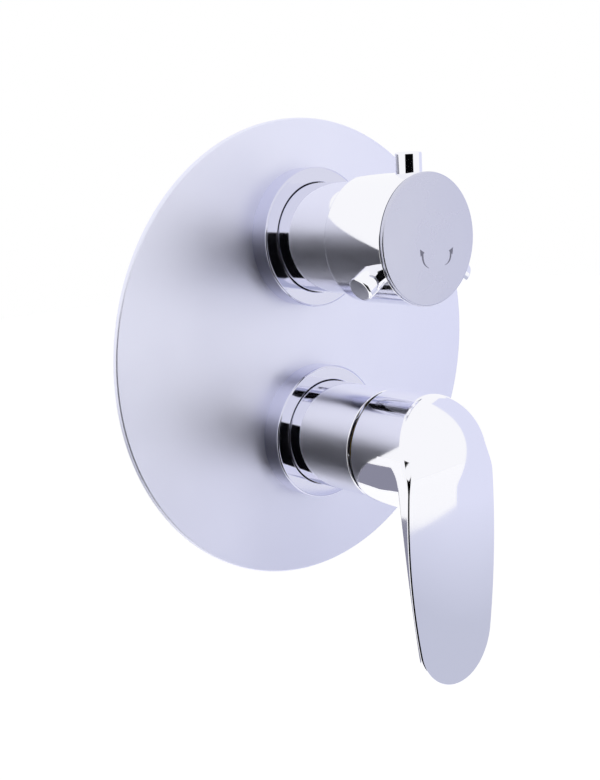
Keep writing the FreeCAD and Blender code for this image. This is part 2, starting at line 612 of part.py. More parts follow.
def blade_outline():
    """The front outline of the handle: a round crown, two slow side arcs and a round tip."""
    crown, tip, drop = size("crown_half_width"), depth_of(BLADE_TIP_RADIUS), depth_of(BLADE_TIP_DROP)
    side, wide_drop = depth_of(BLADE_SIDE_RADIUS), depth_of(BLADE_WIDE_DROP)
    across = side - depth_of(BLADE_HALF_WIDTH)
    lean = math.atan2(wide_drop, across)
    turn = math.atan2(drop - wide_drop, across)
    normal = FreeCAD.Vector(0, 0, 1)
    sketch = doc.addObject("Sketcher::SketchObject", "BladeOutline")
    sketch.Placement = FreeCAD.Placement(FreeCAD.Vector(), FACING_ROOM)
    place(sketch, "0", f"-{HUB_CREASE}", MIXER_Z)
    circles = (
        (FreeCAD.Vector(0, 0), crown, lean, math.pi - lean),
        (FreeCAD.Vector(across, -wide_drop), side, math.pi - lean, math.pi + turn),
        (FreeCAD.Vector(0, -drop), tip, math.pi + turn, 2 * math.pi - turn),
        (FreeCAD.Vector(-across, -wide_drop), side, 2 * math.pi - turn, 2 * math.pi + lean),
    )
    arcs = [sketch.addGeometry(Part.ArcOfCircle(Part.Circle(centre, normal, radius), start, end))
            for centre, radius, start, end in circles]
    round_crown, left, round_tip, right = arcs
    start_point, end_point, centre_point, origin, y_axis = 1, 2, 3, -1, -2

    def rule(*terms):
        return sketch.addConstraint(Sketcher.Constraint(*terms))

    rule("Coincident", round_crown, centre_point, origin, 1)
    rule("Tangent", round_crown, end_point, left, start_point)
    rule("Tangent", left, end_point, round_tip, start_point)
    rule("Tangent", round_tip, end_point, right, start_point)
    rule("Tangent", right, end_point, round_crown, start_point)
    rule("PointOnObject", round_tip, centre_point, y_axis)
    rule("Equal", left, right)
    bind(sketch, f"Constraints[{rule('Radius', round_crown, crown)}]", "crown_half_width")
    bind(sketch, f"Constraints[{rule('Radius', round_tip, tip)}]", BLADE_TIP_RADIUS)
    bind(sketch, f"Constraints[{rule('Radius', left, side)}]", BLADE_SIDE_RADIUS)
    tip_centre = rule("DistanceY", round_tip, centre_point, origin, 1, drop)
    bind(sketch, f"Constraints[{tip_centre}]", BLADE_TIP_DROP)
    return sketch


def front_form():
    """All that lies behind the front face: a wide upright drum, bent back over the crown."""
    radius, front, axis = size("handle_front_radius"), depth_of(HANDLE_FRONT), depth_of(CROWN_AXIS)
    half = depth_of(BLADE_HALF_WIDTH) + size("cut_margin")
    rear = axis + size("cut_margin")
    spread = math.asin(half / radius)
    edge = front - radius + math.sqrt(radius ** 2 - half ** 2)
    face_circle = Part.Circle(FreeCAD.Vector(0, radius - front), FreeCAD.Vector(0, 0, 1), radius)
    section = doc.addObject("Sketcher::SketchObject", "FrontSection")
    place(section, "0", "0", CROWN_Z)
    corners = [FreeCAD.Vector(half, -edge), FreeCAD.Vector(half, -rear),
               FreeCAD.Vector(-half, -rear), FreeCAD.Vector(-half, -edge)]
    face = section.addGeometry(Part.ArcOfCircle(face_circle, 1.5 * math.pi - spread, 1.5 * math.pi + spread))
    right, back, left = [section.addGeometry(Part.LineSegment(start, end))
                         for start, end in zip(corners, corners[1:])]
    start_point, end_point, centre_point, origin, y_axis = 1, 2, 3, -1, -2

    def rule(*terms):
        return section.addConstraint(Sketcher.Constraint(*terms))

    for line, following in ((face, right), (right, back), (back, left), (left, face)):
        rule("Coincident", line, end_point, following, start_point)
    rule("Vertical", right)
    rule("Symmetric", back, start_point, back, end_point, y_axis)
    rule("PointOnObject", face, centre_point, y_axis)
    rule("Symmetric", face, start_point, face, end_point, y_axis)
    bind(section, f"Constraints[{rule('Radius', face, radius)}]", "handle_front_radius")
    width = rule("DistanceX", back, end_point, back, start_point, 2 * half)
    bind(section, f"Constraints[{width}]", f"2 * {BLADE_HALF_WIDTH} + 2 * cut_margin")
    centre = rule("DistanceY", origin, 1, face, centre_point, radius - front)
    bind(section, f"Constraints[{centre}]", f"handle_front_radius - {HANDLE_FRONT}")
    depth = rule("DistanceY", back, end_point, origin, 1, rear)
    bind(section, f"Constraints[{depth}]", f"{CROWN_AXIS} + cut_margin")

    drum = doc.addObject("Part::Extrusion", "FrontDrum")
    drum.Base = section
    drum.DirMode = "Normal"
    drum.Reversed = True
    drum.Solid = True
    bind(drum, "LengthFwd", "blade_reach")
    bend = doc.addObject("Part::Revolution", "CrownBend")
    bend.Source = section
    bend.Axis = FreeCAD.Vector(-1, 0, 0)
    bend.Angle = 90
    bend.Solid = True
    bind(bend, "Base.y", f"-{CROWN_AXIS}")
    bind(bend, "Base.z", CROWN_Z)
    return fuse("FrontForm", drum, bend)


def is_fold(edge):
    """Whether an edge runs round the front face, and is not the seam between its drum and its crown."""
    radius, crown, crown_z = size("handle_front_radius"), size("crown_radius"), depth_of(CROWN_Z)
    points = edge.discretize(5)
    for point in points:
        reach = crown - radius + math.sqrt(radius ** 2 - point.x ** 2)
        rise = max(point.z - crown_z, 0)
        if abs(depth_of(CROWN_AXIS) + math.sqrt(max(reach ** 2 - rise ** 2, 0)) + point.y) > 1e-3:
            return False
    return any(abs(point.z - crown_z) > 1e-3 for point in points)


def soft_fold(crowned):
    """The handle with its front fold rounded: fully round the crown, running out to the blade."""
    doc.recompute()

    def rounding(vertex):
        on_crown = vertex.Point.z > depth_of(CROWN_Z) + 1e-3
        return size("crown_round" if on_crown else "blade_edge_round")

    fillet = doc.addObject("Part::Fillet", "SoftHandle")
    fillet.Base = crowned
    fillet.Edges = [(index, rounding(edge.Vertexes[0]), rounding(edge.Vertexes[-1]))
                    for index, edge in enumerate(crowned.Shape.Edges, start=1) if is_fold(edge)]
    return fillet


def blade_clearing():
    """The space behind the blade: carved by a large cylinder, with a round shoulder under the crown."""
    width = f"(2 * {BLADE_HALF_WIDTH} + 2 * cut_margin)"
    shoulder_z = f"({MIXER_Z} + blade_shoulder_top)"
    height = "(blade_reach + blade_shoulder_top + cut_margin)"
    space = block("BladeSpace", width, f"{HUB_CREASE} - cut_margin", HANDLE_FRONT, height,
                  f"{shoulder_z} - {height} / 2")
    carver = rod("BackCarver", "blade_back_radius", width, ALONG_X, f"-{width} / 2",
                 f"blade_back_radius - ({HANDLE_FRONT} - blade_thinnest)", f"{MIXER_Z} - blade_thinnest_drop")
    carved = common("CarvedSpace", space, carver)
    top = depth_of(shoulder_z)
    middle = depth_of(f"({HUB_CREASE} + {HANDLE_FRONT}) / 2")

    def under_crown(edge):
        box = edge.BoundBox
        return abs(box.ZMin - top) < 1e-3 and abs(box.ZMax - top) < 1e-3 and -box.YMax > middle

    return rounded("BladeClearing", carved, size("blade_shoulder"), under_crown)


def make_handle():
    """The lever: a flared hub with a crown, and a blade that sweeps out of the crown and hangs down."""
    slab = doc.addObject("Part::Extrusion", "BladeSlab")
    slab.Base = blade_outline()
    slab.DirMode = "Normal"
    slab.Solid = True
    bind(slab, "LengthFwd", f"{HANDLE_FRONT} - {HUB_CREASE}")
    blade = cut("Blade", slab, blade_clearing())
    flare = turned("HubFlare", "hub_radius", "hub_back", HUB_CREASE, MIXER_Z,
                   front_radius="crown_half_width")
    lower = turned("HubLower", "crown_half_width", HUB_CREASE, f"({HANDLE_FRONT} - blade_thinnest)", MIXER_Z,
                   front_radius="crown_half_width - hub_front_taper")
    crowned = common("CrownedHandle", fuse("HubAndBlade", flare, lower, blade), front_form())
    soft = soft_fold(crowned)

    room = turned("HubRoom", "hub_radius - hub_wall", "hub_back - cut_margin", HUB_CAVITY_FRONT, MIXER_Z)
    boss = turned("SocketBoss", "socket_boss_radius", "socket_boss_back", f"{HUB_CAVITY_FRONT} + cut_margin",
                  MIXER_Z)
    screw_boss = rod("ScrewBoss", "set_screw_boss_radius", "hub_radius", UPRIGHT, "0", f"-{SET_SCREW_DEPTH}",
                     f"{MIXER_Z} - hub_radius")
    cavity = cut("HubCavity", room, boss, screw_boss)
    socket = tipped_block("HandleSocket", SOCKET_SIZE, f"socket_boss_back - {PIVOT_DEPTH} - lever_bar",
                          "lever_bar_front + seating_gap")
    screw_hole = rod("SetScrewHole", "set_screw_radius + running_gap", "crown_half_width + cut_margin",
                     UPRIGHT, "0", f"-{SET_SCREW_DEPTH}", f"{MIXER_Z} - crown_half_width - cut_margin")
    piece("lever_handle", cut("Handle", soft, cavity, socket, screw_hole))

    # The screw's tip meets the underside of the tipped spindle
    ahead = f"({SET_SCREW_DEPTH} + set_screw_radius - {PIVOT_DEPTH})"
    spindle_under = (f"({ahead} * tan(lever_rest_angle * 1 deg)"
                     " + lever_bar / 2 / cos(lever_rest_angle * 1 deg))")
    tip_z = f"({MIXER_Z} - {spindle_under} - seating_gap)"
    screw = rod("SetScrew", "set_screw_radius", "set_screw_length", UPRIGHT, "0", f"-{SET_SCREW_DEPTH}",
                f"{tip_z} - set_screw_length")
    piece("lever_set_screw", screw)


def make_body():
    """The brass casting behind the wall: two tubes into the room, four ports and two fixing lugs."""
    back = f"(-{BODY_DEPTH} - body_pipe_radius - body_back_wall)"
    solids = [
        turned("CartridgeTube", CARTRIDGE_TUBE, back, TUBE_MOUTH, MIXER_Z),
        turned("DiverterTube", "diverter_tube_radius", back, "headwork_mouth", DIVERTER_Z),
        rod("RisingPipe", "body_pipe_radius", "outlet_top + outlet_bottom", UPRIGHT,
            "0", BODY_DEPTH, "-outlet_bottom"),
        rod("InletPipe", "body_pipe_radius", "inlet_span", ALONG_X, "-inlet_span / 2", BODY_DEPTH, MIXER_Z),
        block("LugBar", "lug_span", "-lug_depth - lug_thickness", "-lug_depth", "2 * lug_radius",
              "lug_height"),
    ]
    holes = [
        turned("CartridgeBore", CARTRIDGE_BORE, "cartridge_floor", f"{TUBE_MOUTH} + cut_margin", MIXER_Z),
        turned("DiverterBore", "headwork_bore", "headwork_floor", "headwork_mouth + cut_margin", DIVERTER_Z),
    ]
    ring_middle = f"({TUBE_MOUTH} - 2 * ring_groove_width)"
    groove_outer = turned("RingGrooveOuter", f"{CARTRIDGE_TUBE} + cut_margin",
                          f"{ring_middle} - ring_groove_width / 2", f"{ring_middle} + ring_groove_width / 2",
                          MIXER_Z)
    groove_inner = turned("RingGrooveInner", f"{CARTRIDGE_TUBE} - ring_groove_depth", "0", TUBE_MOUTH,
                          MIXER_Z)
    holes.append(cut("RingGroove", groove_outer, groove_inner))
    down = FreeCAD.Rotation(FreeCAD.Vector(1, 0, 0), 180)
    left = FreeCAD.Rotation(FreeCAD.Vector(0, 1, 0), -90)
    ports = (
        ("Hot", left, ("-{}", "0"), "inlet_span / 2"),
        ("Cold", ALONG_X, ("{}", "0"), "inlet_span / 2"),
        ("Top", UPRIGHT, ("0", "{}"), "outlet_top"),
        ("Bottom", down, ("0", "-{}"), "outlet_bottom"),
    )
    for name, outward, (x, z), end in ports:
        height = MIXER_Z if z == "0" else "0"
        for part_name, radius, length, over in (("Boss", "port_boss_radius", "port_boss_length", "0"),
                                                ("Bore", "port_radius", "port_depth", "cut_margin")):
            start = f"({end} - {length})"
            solid = rod(f"{name}{part_name}", radius, f"{length} + {over}", outward, x.format(start),
                        BODY_DEPTH, f"{height} + {z.format(start)}")
            (solids if part_name == "Boss" else holes).append(solid)
    for side, name in (("-", "Left"), ("", "Right")):
        x = f"{side}lug_span / 2"
        solids.append(turned(f"{name}Lug", "lug_radius", "-lug_depth - lug_thickness", "-lug_depth",
                             "lug_height", x))
        holes.append(turned(f"{name}LugHole", "lug_hole_radius", "-lug_depth - lug_thickness - cut_margin",
                            "-lug_depth + cut_margin", "lug_height", x))
    piece("valve_body", cut("Body", fuse("BodySolid", *solids), *holes))


make_plate_and_seal()
make_collar("Upper", DIVERTER_Z)
make_collar("Lower", MIXER_Z)
make_diverter_sleeve()
make_diverter_headwork()
make_diverter_knob()
make_shroud()
make_cartridge()
make_rotor_and_spindle()
make_handle()
make_body()
doc.recompute()

for thing in doc.Objects:
    if "Invalid" in thing.State or "Error" in thing.State:
        raise RuntimeError(f"{thing.Name} ({thing.Label}) failed: {thing.State}")
for node, solid in PIECES.items():
    shape = solid.Shape
    if shape.isNull() or not shape.isValid() or len(shape.Solids) != 1:
        raise RuntimeError(f"{node} is not one valid solid: {len(shape.Solids)} solids")

os.makedirs("parts", exist_ok=True)
for node, solid in PIECES.items():
    solid.Shape.exportStep(f"parts/{node}.step")
    print(f"{node}: {solid.Shape.Volume / 1000:.2f} cm3")
print(f"{len(PIECES)} pieces")
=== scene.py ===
# %% [markdown]
# This lesson dresses a concealed shower mixer: a round chrome cover plate, a diverter knob with three pins
# above, and a paddle lever below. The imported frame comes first, because it holds the true sizes and the
# bodies that move. Every new piece is made in metres in the same frame, so nothing has to be fitted.

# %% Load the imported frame
import bpy
import bmesh
import math
from mathutils import Matrix, Vector


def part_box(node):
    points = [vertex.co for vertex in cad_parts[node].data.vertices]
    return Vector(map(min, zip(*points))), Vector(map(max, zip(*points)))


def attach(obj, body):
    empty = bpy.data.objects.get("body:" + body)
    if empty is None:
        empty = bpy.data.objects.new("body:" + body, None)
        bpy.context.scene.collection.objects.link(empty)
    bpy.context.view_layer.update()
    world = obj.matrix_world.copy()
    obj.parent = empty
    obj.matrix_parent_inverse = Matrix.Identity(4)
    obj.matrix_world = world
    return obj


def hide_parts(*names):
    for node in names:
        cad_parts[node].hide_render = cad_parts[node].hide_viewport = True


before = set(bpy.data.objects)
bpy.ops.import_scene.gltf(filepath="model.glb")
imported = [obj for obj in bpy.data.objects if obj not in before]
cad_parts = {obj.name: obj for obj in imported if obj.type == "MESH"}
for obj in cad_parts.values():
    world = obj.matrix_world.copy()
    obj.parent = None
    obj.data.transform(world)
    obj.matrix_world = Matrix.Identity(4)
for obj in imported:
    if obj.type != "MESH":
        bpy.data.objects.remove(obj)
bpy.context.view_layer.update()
MM = 0.001

# %% [markdown]
# All colours below are written as sRGB hex codes, the way a paint chart gives them, and Blender wants linear
# light. One function does the change. A second one adds a shader node, sets it and links it.

# %% Colour and node helpers
def linear(code):
    """The linear colour of an sRGB hex code."""
    parts = [int(code[i:i + 2], 16) / 255 for i in (0, 2, 4)]
    return [p / 12.92 if p <= 0.04045 else ((p + 0.055) / 1.055) ** 2.4 for p in parts] + [1.0]


def add_node(material, kind, inputs=None, **settings):
    """Add a node to a material, with its settings, and fill its inputs with values or with links."""
    node = material.node_tree.nodes.new(kind)
    for name, value in settings.items():
        setattr(node, name, value)
    for name, value in (inputs or {}).items():
        if isinstance(value, bpy.types.NodeSocket):
            material.node_tree.links.new(value, node.inputs[name])
        else:
            node.inputs[name].default_value = value
    return node


def new_finish(name, **sockets):
    """A material with its one surface shader, whose constant sockets are set directly."""
    material = bpy.data.materials.new(name)
    material.use_nodes = True
    shader = material.node_tree.nodes["Principled BSDF"]
    for socket, value in sockets.items():
        shader.inputs[socket.replace("_", " ")].default_value = value
    return material, shader


print("white is", linear("FFFFFF")[:3])

# %% [markdown]
# Bright chrome is a thin plated layer over polished brass. It has hardly any colour of its own, a faint cool
# cast, and a mirror gloss that fingers and drying water dull in soft patches about 20 mm wide. Buffing leaves
# slow waves in the brass under the plating, so straight reflections bend a little. One function makes four
# finishes of it: mirror bright on the tubes, knob and lever, a shade deeper on the collars, satin on the
# plate and brushed on the knob's cap. Only the colour, the roughness and the height of the waves differ.

# %% Chrome
PATCH_SIZE, WAVE_SIZE = 20 * MM, 14 * MM


def chrome_finish(name, code, gloss, dull, wave):
    """Plated metal whose roughness runs from gloss to dull in patches, with a slow buffing wave."""
    material, shader = new_finish(name, Base_Color=linear(code), Metallic=1.0)
    place = add_node(material, "ShaderNodeTexCoord").outputs["Object"]
    patches = add_node(material, "ShaderNodeTexNoise", {
        "Vector": place, "Scale": 1 / PATCH_SIZE, "Detail": 4.0})
    sheen = add_node(material, "ShaderNodeMapRange", {
        "Value": patches.outputs["Fac"], "From Min": 0.35, "From Max": 0.7, "To Min": gloss, "To Max": dull})
    buffing = add_node(material, "ShaderNodeTexNoise", {
        "Vector": place, "Scale": 1 / WAVE_SIZE, "Detail": 1.0})
    bump = add_node(material, "ShaderNodeBump", {
        "Height": buffing.outputs["Fac"], "Strength": 1.0, "Distance": wave})
    links = material.node_tree.links
    links.new(sheen.outputs["Result"], shader.inputs["Roughness"])
    links.new(bump.outputs["Normal"], shader.inputs["Normal"])
    return material


bright_chrome = chrome_finish("bright_chrome", "F7F7FC", 0.04, 0.08, 0.02 * MM)
satin_chrome = chrome_finish("satin_chrome", "ECEDFC", 0.4, 0.44, 0.001 * MM)
collar_chrome = chrome_finish("collar_chrome", "D6D7EA", 0.05, 0.09, 0.02 * MM)
cap_chrome = chrome_finish("brushed_cap_chrome", "CDCEDF", 0.24, 0.3, 0.002 * MM)
print(bright_chrome.name, satin_chrome.name, collar_chrome.name, cap_chrome.name)

# %% [markdown]
# Behind the plate and inside the sleeves are the working materials. Sand cast brass is dull and pitted, with
# a grain of about 1 mm. Turned brass shows fine rings, drawn here at 0.6 mm because real ones are too fine
# to see. Rubber is nearly black and matt, acetal is a grey waxy plastic, alumina is an ivory ceramic with a
# lapped face, and the screws are drawn stainless steel.

# %% Working materials
def grained_finish(name, light, dark, grain, pit, rough, metallic=0.0, stretch=(1, 1, 1)):
    """A material whose colour, gloss and height all follow one grain of a given size."""
    material, shader = new_finish(name, Metallic=metallic)
    place = add_node(material, "ShaderNodeTexCoord").outputs["Object"]
    turned_place = add_node(material, "ShaderNodeMapping", {"Vector": place, "Scale": stretch})
    grains = add_node(material, "ShaderNodeTexNoise", {
        "Vector": turned_place.outputs["Vector"], "Scale": 1 / grain, "Detail": 6.0, "Roughness": 0.6})
    colour = add_node(material, "ShaderNodeMix", {
        "Factor": grains.outputs["Fac"], 6: linear(dark), 7: linear(light)}, data_type="RGBA")
    gloss = add_node(material, "ShaderNodeMapRange", {
        "Value": grains.outputs["Fac"], "To Min": rough + 0.12, "To Max": rough - 0.08})
    bump = add_node(material, "ShaderNodeBump", {
        "Height": grains.outputs["Fac"], "Strength": 1.0, "Distance": pit})
    links = material.node_tree.links
    links.new(colour.outputs[2], shader.inputs["Base Color"])
    links.new(gloss.outputs["Result"], shader.inputs["Roughness"])
    links.new(bump.outputs["Normal"], shader.inputs["Normal"])
    return material


RINGS = (0.15, 1.0, 0.15)
cast_brass = grained_finish("sand_cast_brass", "C9A968", "8E7038", 1.2 * MM, 0.12 * MM, 0.48, 1.0)
turned_brass = grained_finish("turned_brass", "D9BC78", "B8934E", 0.6 * MM, 0.01 * MM, 0.26, 1.0, RINGS)
black_rubber = grained_finish("moulded_nitrile_rubber", "2A2B2D", "161718", 0.9 * MM, 0.02 * MM, 0.72)
grey_acetal = grained_finish("moulded_acetal", "A9ACAE", "989B9E", 2.5 * MM, 0.01 * MM, 0.42)
alumina = grained_finish("lapped_alumina", "F0ECE0", "E2DCCB", 1.5 * MM, 0.003 * MM, 0.22)
stainless = grained_finish("drawn_stainless_steel", "C4C6C9", "A3A6AA", 0.5 * MM, 0.006 * MM, 0.3, 1.0, RINGS)

FINISHES = {"chrome": bright_chrome, "brass": turned_brass, "rubber": black_rubber, "plastic": grey_acetal,
            "ceramic": alumina, "steel": stainless}
print(sorted(FINISHES))

# %% [markdown]
# The hidden pieces keep their CAD shapes and only change finish. The frame names each node's slot in its
# first material, so one loop repaints them all. The body is the only casting.

# %% Repaint the CAD nodes
for name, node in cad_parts.items():
    slot = node.data.materials[0].name.split(".")[0]
    node.data.materials[0] = cast_brass if name == "valve_body" else FINISHES[slot]
    print(name, "in", node.data.materials[0].name)

# %% [markdown]
# Most of the chrome is turned work, so it is made as a turner makes it: a profile is drawn once and spun
# about the axis. A profile is a list of radius, depth in front of the wall and corner rounding, in
# millimetres. The corners are rounded while the profile is still flat, then its edges are spun. Weighted
# normals keep the flat faces flat next to the small rounds, which a mirror finish shows at once. Edges that
# are sharper than 40 degrees stay sharp.

# %% Spin a profile
STEPS, CORNER_STEPS, EDGE_STEPS = 180, 6, 5
SHARP = math.radians(40)
MERGE = 0.002 * MM
DIVERTER_Z = sum(c.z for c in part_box("knob_cap")) / 2
MIXER_Z = sum(c.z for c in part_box("mixer_shroud")) / 2


def finish_piece(bm, name, body, material, nodes=()):
    """Turn a bmesh into a smooth object that rides on a body and stands for its CAD nodes."""
    bmesh.ops.remove_doubles(bm, verts=bm.verts, dist=MERGE)
    bmesh.ops.recalc_face_normals(bm, faces=bm.faces)
    for face in bm.faces:
        face.smooth = True
    for edge in bm.edges:
        edge.smooth = len(edge.link_faces) == 2 and edge.calc_face_angle() < SHARP
    mesh = bpy.data.meshes.new(name)
    bm.to_mesh(mesh)
    bm.free()
    mesh.materials.append(material)
    piece = bpy.data.objects.new(name, mesh)
    bpy.context.scene.collection.objects.link(piece)
    piece.modifiers.new("face_weighting", "WEIGHTED_NORMAL").keep_sharp = True
    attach(piece, body)
    if nodes:
        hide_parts(*nodes)
    print(name, len(mesh.polygons), "faces on", body)


def spun(profile, centre, axis, across, closed=True):
    """A bmesh of a profile spun about an axis through a centre, with the radii measured along across."""
    bm = bmesh.new()
    corners = [(bm.verts.new(centre + across * radius * MM + axis * depth * MM), rounding)
               for radius, depth, rounding in profile]
    bm.faces.new([vert for vert, rounding in corners])
    for vert, rounding in corners:
        if rounding:
            bmesh.ops.bevel(bm, geom=[vert], offset=rounding * MM, offset_type="OFFSET",
                            segments=CORNER_STEPS, profile=0.5, affect="VERTICES", material=-1)
    bmesh.ops.delete(bm, geom=bm.faces[:], context="FACES_ONLY")
    if not closed:
        on_axis = [e for e in bm.edges if all((v.co - centre).dot(across) < 1e-9 for v in e.verts)]
        bmesh.ops.delete(bm, geom=on_axis, context="EDGES")
    bmesh.ops.spin(bm, geom=bm.verts[:] + bm.edges[:], cent=centre, axis=axis, dvec=(0, 0, 0),
                   angle=2 * math.pi, steps=STEPS, use_merge=True)
    return bm


ROOM = Vector((0, -1, 0))
SIDE = Vector((1, 0, 0))
UPPER = Vector((0, 0, DIVERTER_Z))
LOWER = Vector((0, 0, MIXER_Z))
print("diverter axis at", round(DIVERTER_Z / MM, 1), "mm, mixer axis at", round(MIXER_Z / MM, 1), "mm")

# %% [markdown]
# The cover plate is a pressed disc with two round holes, so it can't be spun in one go. Three circles are
# filled between, the sheet is extruded to its thickness, and the front rim is bevelled.

# %% Cover plate
low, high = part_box("cover_plate")
PLATE_RADIUS = high.x
PLATE_THICKNESS = high.y - low.y
PLATE_HOLE_RADIUS = 24.7 * MM
PLATE_RIM = 0.8 * MM
PLATE_STEPS, HOLE_STEPS = 256, 96

bm = bmesh.new()
for centre, radius, count in ((Vector(), PLATE_RADIUS, PLATE_STEPS), (UPPER, PLATE_HOLE_RADIUS, HOLE_STEPS),
                              (LOWER, PLATE_HOLE_RADIUS, HOLE_STEPS)):
    facing = Matrix.Translation(centre + Vector((0, high.y, 0))) @ Matrix.Rotation(math.pi / 2, 4, "X")
    bmesh.ops.create_circle(bm, segments=count, radius=radius, matrix=facing)
bmesh.ops.triangle_fill(bm, edges=bm.edges[:], use_beauty=True, use_dissolve=False)
sheet = bmesh.ops.extrude_face_region(bm, geom=bm.faces[:])
front_verts = [v for v in sheet["geom"] if isinstance(v, bmesh.types.BMVert)]
bmesh.ops.translate(bm, verts=front_verts, vec=ROOM * PLATE_THICKNESS)
at_rim = {v for v in bm.verts if v.co.y < low.y + 1e-6 and v.co.length > 0.9 * PLATE_RADIUS}
front_rim = [e for e in bm.edges if at_rim.issuperset(e.verts) and e.calc_face_angle(0) > 1]
bmesh.ops.bevel(bm, geom=front_rim, offset=PLATE_RIM, offset_type="OFFSET", segments=EDGE_STEPS,
                profile=0.5, affect="EDGES", material=-1)
finish_piece(bm, "plate_disc", "valve", satin_chrome, ["cover_plate"])

# %% [markdown]
# Collars, sleeve and shroud are plain turned rings and tubes. The groove inside each collar holds its
# O-ring, and the shroud ends in a small rolled lip.

# %% Collars, sleeve and shroud
TUBE, TUBE_BORE, TUBE_BACK = 21.9, 21.0, 0.5
RING, RING_BORE, RING_BACK, RING_FRONT = 28.1, 22.2, 3.0, 11.6
SPIGOT, SPIGOT_BACK = 24.6, 1.0
GROOVE, GROOVE_BACK, GROOVE_FRONT = 23.7, 4.6, 6.6
WEB_BORE, WEB_BACK, WEB_FRONT, SLEEVE_FRONT = 9.4, 24.0, 26.0, 46.6
LIP_BORE, LIP_BACK, SHROUD_FRONT = 20.1, 44.8, 45.8
COLLAR = [(RING_BORE, SPIGOT_BACK, 0), (SPIGOT, SPIGOT_BACK, 0), (SPIGOT, RING_BACK, 0), (RING, RING_BACK, 0),
          (RING, RING_FRONT, 0.8), (RING_BORE, RING_FRONT, 0.4), (RING_BORE, GROOVE_FRONT, 0),
          (GROOVE, GROOVE_FRONT, 0), (GROOVE, GROOVE_BACK, 0), (RING_BORE, GROOVE_BACK, 0)]
SLEEVE = [(TUBE, TUBE_BACK, 0), (TUBE, SLEEVE_FRONT, 0.3), (TUBE_BORE, SLEEVE_FRONT, 0.3),
          (TUBE_BORE, WEB_FRONT, 0), (WEB_BORE, WEB_FRONT, 0), (WEB_BORE, WEB_BACK, 0),
          (TUBE_BORE, WEB_BACK, 0), (TUBE_BORE, TUBE_BACK, 0)]
SHROUD = [(TUBE, TUBE_BACK, 0), (TUBE, SHROUD_FRONT, 0.45), (LIP_BORE, SHROUD_FRONT, 0.45),
          (LIP_BORE, LIP_BACK, 0), (TUBE_BORE, LIP_BACK, 0), (TUBE_BORE, TUBE_BACK, 0)]
for name, profile, centre, finish, node in (
        ("collar_ring_upper", COLLAR, UPPER, collar_chrome, "upper_collar"),
        ("collar_ring_lower", COLLAR, LOWER, collar_chrome, "lower_collar"),
        ("sleeve_tube", SLEEVE, UPPER, bright_chrome, "diverter_sleeve"),
        ("shroud_tube", SHROUD, LOWER, bright_chrome, "mixer_shroud")):
    finish_piece(spun(profile, centre, ROOM, SIDE), name, "valve", finish, [node])

# %% [markdown]
# The knob is a turned shell that slips over the sleeve, and its front cap stands off by a fine shadow line.
# Three pins are pressed into the shell. Each pin is spun about its own radial axis.

# %% Diverter knob, cap and pins
KNOB_RADIUS, KNOB_BACK, KNOB_FRONT = 24.5, 41.1, 70.0
KNOB_BORE, KNOB_FLOOR, SCREW_HOLE = 22.4, 47.6, 2.05
RECESS, RECESS_BACK, PLUG, PLUG_BACK = 12.0, 60.5, 11.95, 65.0
CAP_FRONT, CAP_BACK = 71.75, 70.35
PIN_RADIUS, PIN_FOOT, PIN_END = 5.0, 17.1, 31.9
KNOB = [(KNOB_BORE, KNOB_BACK, 0.3), (KNOB_RADIUS, KNOB_BACK, 0.7), (KNOB_RADIUS, KNOB_FRONT, 0.25),
        (RECESS, KNOB_FRONT, 0), (RECESS, RECESS_BACK, 0), (SCREW_HOLE, RECESS_BACK, 0),
        (SCREW_HOLE, KNOB_FLOOR, 0), (KNOB_BORE, KNOB_FLOOR, 0)]
CAP = [(0.0, CAP_FRONT, 0), (KNOB_RADIUS, CAP_FRONT, 0.7), (KNOB_RADIUS, CAP_BACK, 0.2),
       (PLUG, CAP_BACK, 0), (PLUG, PLUG_BACK, 0), (0.0, PLUG_BACK, 0)]
PIN = [(0.0, PIN_FOOT, 0), (PIN_RADIUS, PIN_FOOT, 0), (PIN_RADIUS, PIN_END, 1.0), (0.0, PIN_END, 0)]
PIN_DEPTH = 62.4 * MM
finish_piece(spun(KNOB, UPPER, ROOM, SIDE), "knob_shell", "diverter_knob", bright_chrome,
             ["diverter_knob"])
finish_piece(spun(CAP, UPPER, ROOM, SIDE, closed=False), "knob_front", "diverter_knob", cap_chrome,
             ["knob_cap"])
for number, angle in enumerate((90, 210, 330), start=1):
    outward = Vector((math.cos(math.radians(angle)), 0, math.sin(math.radians(angle))))
    pin = spun(PIN, UPPER + ROOM * PIN_DEPTH, outward, ROOM, closed=False)
    finish_piece(pin, f"grip_pin_{number}", "diverter_knob", bright_chrome, [f"knob_pin_{number}"])

# %% [markdown]
# Two small curved arrows on the cap say which way the knob turns. They are thin marks of grey print: a
# strip whose width tapers along an arc, a wider head at its end, and a little thickness so that they sit
# proud of the cap. The left arrow curves one way and the right arrow the other.

# %% Turn marks
MARK_THICKNESS, MARK_STEPS = 0.02 * MM, 16
MARK_BEND, MARK_HALF_WIDTH, HEAD_HALF_WIDTH, HEAD_LENGTH = 1.1, 0.55, 1.25, 2.4


